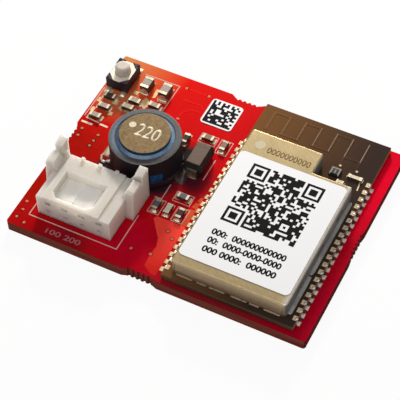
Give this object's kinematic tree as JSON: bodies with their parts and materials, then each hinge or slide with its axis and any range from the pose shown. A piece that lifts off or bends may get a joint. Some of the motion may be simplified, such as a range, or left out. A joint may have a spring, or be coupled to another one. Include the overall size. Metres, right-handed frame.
{
  "type": "wireless control module",
  "caption": "Red carrier board with a soldered castellated radio module under a labelled shield can, a step-down supply, a white wire connector and a push switch.",
  "frame": {"origin": "middle of the carrier board's underside", "axes": "+X along the board's front edge from the connector to the radio module, +Y from the connector to the antenna, +Z out of the component side"},
  "size_m": [0.0422, 0.0324, 0.0076],
  "materials": {
    "red_mask": "glossy red solder mask on glass laminate",
    "tinned_land": "tinned copper",
    "module_mask": "dark brown solder mask on glass laminate",
    "gold_plating": "gold-plated copper",
    "solder": "bright reflowed solder",
    "covered_copper": "copper trace under solder mask",
    "can_metal": "brushed nickel silver",
    "label_white": "printed white film",
    "chip_black": "black moulding compound",
    "crystal_metal": "metal lid",
    "ceramic_tan": "tan ceramic with tinned ends",
    "ceramic_grey": "grey ceramic",
    "ceramic_cream": "cream ceramic with tinned ends",
    "connector_white": "satin warm white polyamide",
    "tinned_contact": "tinned copper alloy",
    "switch_black": "black polyamide",
    "spring_steel": "thin stainless spring sheet",
    "cover_metal": "stainless sheet",
    "button_grey": "warm grey moulding",
    "base_black": "black moulded base",
    "core_ferrite": "ground ferrite, olive brown",
    "winding_copper": "enamelled copper wire",
    "ring_ferrite": "dark ferrite with a ground top",
    "glue_blue": "blue epoxy",
    "diode_mould": "dark moulding compound",
    "resistor_black": "black glass film on ceramic, tinned ends"
  },
  "bodies": {
    "board": {"carrier_board": "red_mask", "carrier_lands": "tinned_land", "module_board": "module_mask", "module_pads": "gold_plating", "module_solder_left": "solder", "module_solder_right": "solder", "antenna_trace": "covered_copper", "shield_can": "can_metal", "can_solder": "solder", "module_label": "label_white", "code_label": "label_white", "processor_chip": "chip_black", "flash_chip": "chip_black", "memory_chip": "chip_black", "clock_crystal": "crystal_metal", "module_chips": "ceramic_tan", "feed_filter": "ceramic_grey", "feed_capacitor": "ceramic_tan", "feed_link": "ceramic_cream", "connector_housing": "connector_white", "contact_1": "tinned_contact", "contact_2": "tinned_contact", "contact_3": "tinned_contact", "contact_4": "tinned_contact", "switch_base": "switch_black", "switch_feet": "tinned_contact", "switch_dome": "spring_steel", "switch_cover": "cover_metal", "inductor_base": "base_black", "inductor_terminal_left": "tinned_contact", "inductor_terminal_right": "tinned_contact", "inductor_core": "core_ferrite", "inductor_winding": "winding_copper", "inductor_shield": "ring_ferrite", "inductor_glue": "glue_blue", "diode_body": "diode_mould", "diode_lead_front": "tinned_contact", "diode_lead_back": "tinned_contact", "regulator_body": "chip_black", "regulator_leads": "tinned_contact", "input_capacitor": "ceramic_tan", "output_capacitor": "ceramic_tan", "pull_up_resistor": "resistor_black", "reset_resistor": "resistor_black", "reset_capacitor": "ceramic_tan", "bypass_capacitor_1": "ceramic_tan", "bypass_capacitor_2": "ceramic_tan", "feedback_resistor": "resistor_black", "boost_capacitor": "ceramic_tan", "ripple_capacitor": "ceramic_tan", "divider_resistor": "resistor_black", "series_resistor": "resistor_black", "strap_resistor_1": "resistor_black", "module_capacitor": "ceramic_tan", "strap_resistor_2": "resistor_black"},
    "button": {"switch_button": "button_grey"}
  },
  "joints": [
    {"name": "button_press", "type": "slide", "parent": "board", "child": "button", "axis": [0, 0, -1], "range_m": [0, 0.00025], "stiffness_N_per_m": 6400, "deforming": ["switch_dome"]}
  ]
}
